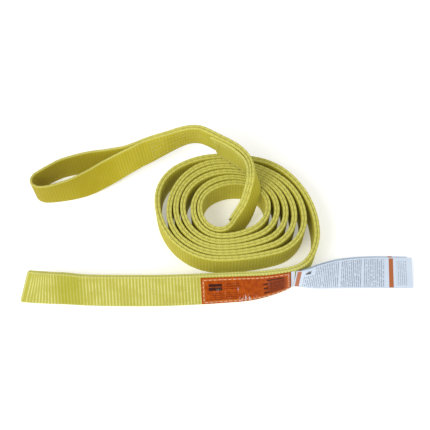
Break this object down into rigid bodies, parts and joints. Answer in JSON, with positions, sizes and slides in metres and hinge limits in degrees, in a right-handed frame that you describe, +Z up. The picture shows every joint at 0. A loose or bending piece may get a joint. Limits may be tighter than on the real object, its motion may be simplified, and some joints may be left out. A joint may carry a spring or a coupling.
{
  "type": "eye and eye web sling",
  "caption": "Flat webbing lifting sling coiled on edge, with an open sewn eye at one end, a flattened sewn eye at the other, a sewn label and a loose two-leaf tag.",
  "frame": {"origin": "centre of the whole object's footprint on the floor", "axes": "+X along the label strap toward the tag, +Y from the label strap toward the free end, +Z up"},
  "size_m": [0.586, 0.2661, 0.1052],
  "materials": {
    "webbing": "woven polyester webbing, ribbed crosswise, slight sheen",
    "thread": "heavy polyester sewing thread, yellow",
    "label_cloth": null,
    "label_thread": "pale orange sewing thread",
    "clear_film": "clear flexible vinyl film, glossy",
    "tag_leaf": "thin white coated tag stock with fine grey ruling and an orange band"
  },
  "bodies": {
    "coil": {"coil_outer_ply": "webbing", "coil_inner_ply": "webbing", "splice_overlap_ply": "webbing", "splice_stitching": "thread"},
    "free_end": {"free_end_near_ply": "webbing", "free_end_far_ply": "webbing", "free_end_stitching": "thread"},
    "eye_near_root": {"eye_near_root": "webbing"},
    "eye_near_tip": {"eye_near_tip": "webbing"},
    "eye_bow": {"eye_tip_bow": "webbing"},
    "eye_far_tip": {"eye_far_tip": "webbing"},
    "eye_far_root": {"eye_far_root": "webbing"},
    "label_strap": {"tail_outer_ply": "webbing", "tail_inner_ply": "webbing", "flat_eye_far_root": "webbing", "flat_eye_stitching": "thread", "label_cloth": "label_cloth", "label_clear_film": "clear_film", "label_stitching": "label_thread", "tag_sewn_tab": "tag_leaf", "tag_stitching": "label_thread"},
    "flat_near_root": {"flat_eye_near_root": "webbing"},
    "flat_tip": {"flat_eye_near_tip": "webbing", "flat_eye_fold": "webbing"},
    "flat_far_tip": {"flat_eye_far_tip": "webbing"},
    "tag_back": {"tag_back_leaf": "tag_leaf"},
    "tag_front": {"tag_front_leaf": "tag_leaf"}
  },
  "joints": [
    {"name": "tail_swing", "type": "hinge", "parent": "coil", "child": "label_strap", "pos_m": [0.13332, -0.07356, 0.0254], "axis": [0, 0, 1], "range_deg": [0, 20]},
    {"name": "free_end_swing", "type": "hinge", "parent": "coil", "child": "free_end", "pos_m": [-0.0082, 0.11227, 0.07719], "axis": [0, 0, 1], "range_deg": [-15, 8]},
    {"name": "eye_near_swing", "type": "hinge", "parent": "free_end", "child": "eye_near_root", "pos_m": [-0.11877, 0.10524, 0.0476], "axis": [0, 0, 1], "range_deg": [0, 10]},
    {"name": "eye_near_bend", "type": "hinge", "parent": "eye_near_root", "child": "eye_near_tip", "pos_m": [-0.20162, 0.06422, 0.02627], "axis": [0, 0, 1], "range_deg": [-20, 0]},
    {"name": "eye_tip_turn", "type": "hinge", "parent": "eye_near_tip", "child": "eye_bow", "pos_m": [-0.26968, 0.04388, 0.02543], "axis": [0, 0, 1], "range_deg": [0, 10]},
    {"name": "eye_far_swing", "type": "hinge", "parent": "free_end", "child": "eye_far_root", "pos_m": [-0.11877, 0.10524, 0.0476], "axis": [0, 0, 1], "range_deg": [-10, 0]},
    {"name": "eye_far_bend", "type": "hinge", "parent": "eye_far_root", "child": "eye_far_tip", "pos_m": [-0.18651, 0.10128, 0.03031], "axis": [0, 0, 1], "range_deg": [0, 20]},
    {"name": "flat_eye_open", "type": "hinge", "parent": "label_strap", "child": "flat_near_root", "pos_m": [-0.10868, -0.11573, 0.02408], "axis": [0, 0.61, 0.7924], "range_deg": [0, 9]},
    {"name": "flat_near_bend", "type": "hinge", "parent": "flat_near_root", "child": "flat_tip", "pos_m": [-0.20021, -0.11462, 0.02426], "axis": [0, 0.61, 0.7924], "range_deg": [-9, 0]},
    {"name": "flat_far_bend", "type": "hinge", "parent": "label_strap", "child": "flat_far_tip", "pos_m": [-0.19228, -0.1112, 0.02148], "axis": [0, 0.61, 0.7924], "range_deg": [0, 9]},
    {"name": "tag_turn", "type": "hinge", "parent": "label_strap", "child": "tag_back", "pos_m": [0.11577, -0.09885, 0.0013], "axis": [-0.08, 0.11, 0.9907], "range_deg": [-50, 0]},
    {"name": "tag_leaf_open", "type": "hinge", "parent": "tag_back", "child": "tag_front", "pos_m": [0.11577, -0.09885, 0.0013], "axis": [-0.08, 0.11, 0.9907], "range_deg": [-40, 0]}
  ],
  "couplings": [
    {"joint": "eye_near_bend", "follows": "eye_near_swing", "ratio": -2},
    {"joint": "eye_tip_turn", "follows": "eye_near_swing", "ratio": 1},
    {"joint": "eye_far_swing", "follows": "eye_near_swing", "ratio": -1},
    {"joint": "eye_far_bend", "follows": "eye_near_swing", "ratio": 2},
    {"joint": "flat_near_bend", "follows": "flat_eye_open", "ratio": -1},
    {"joint": "flat_far_bend", "follows": "flat_eye_open", "ratio": 1}
  ]
}
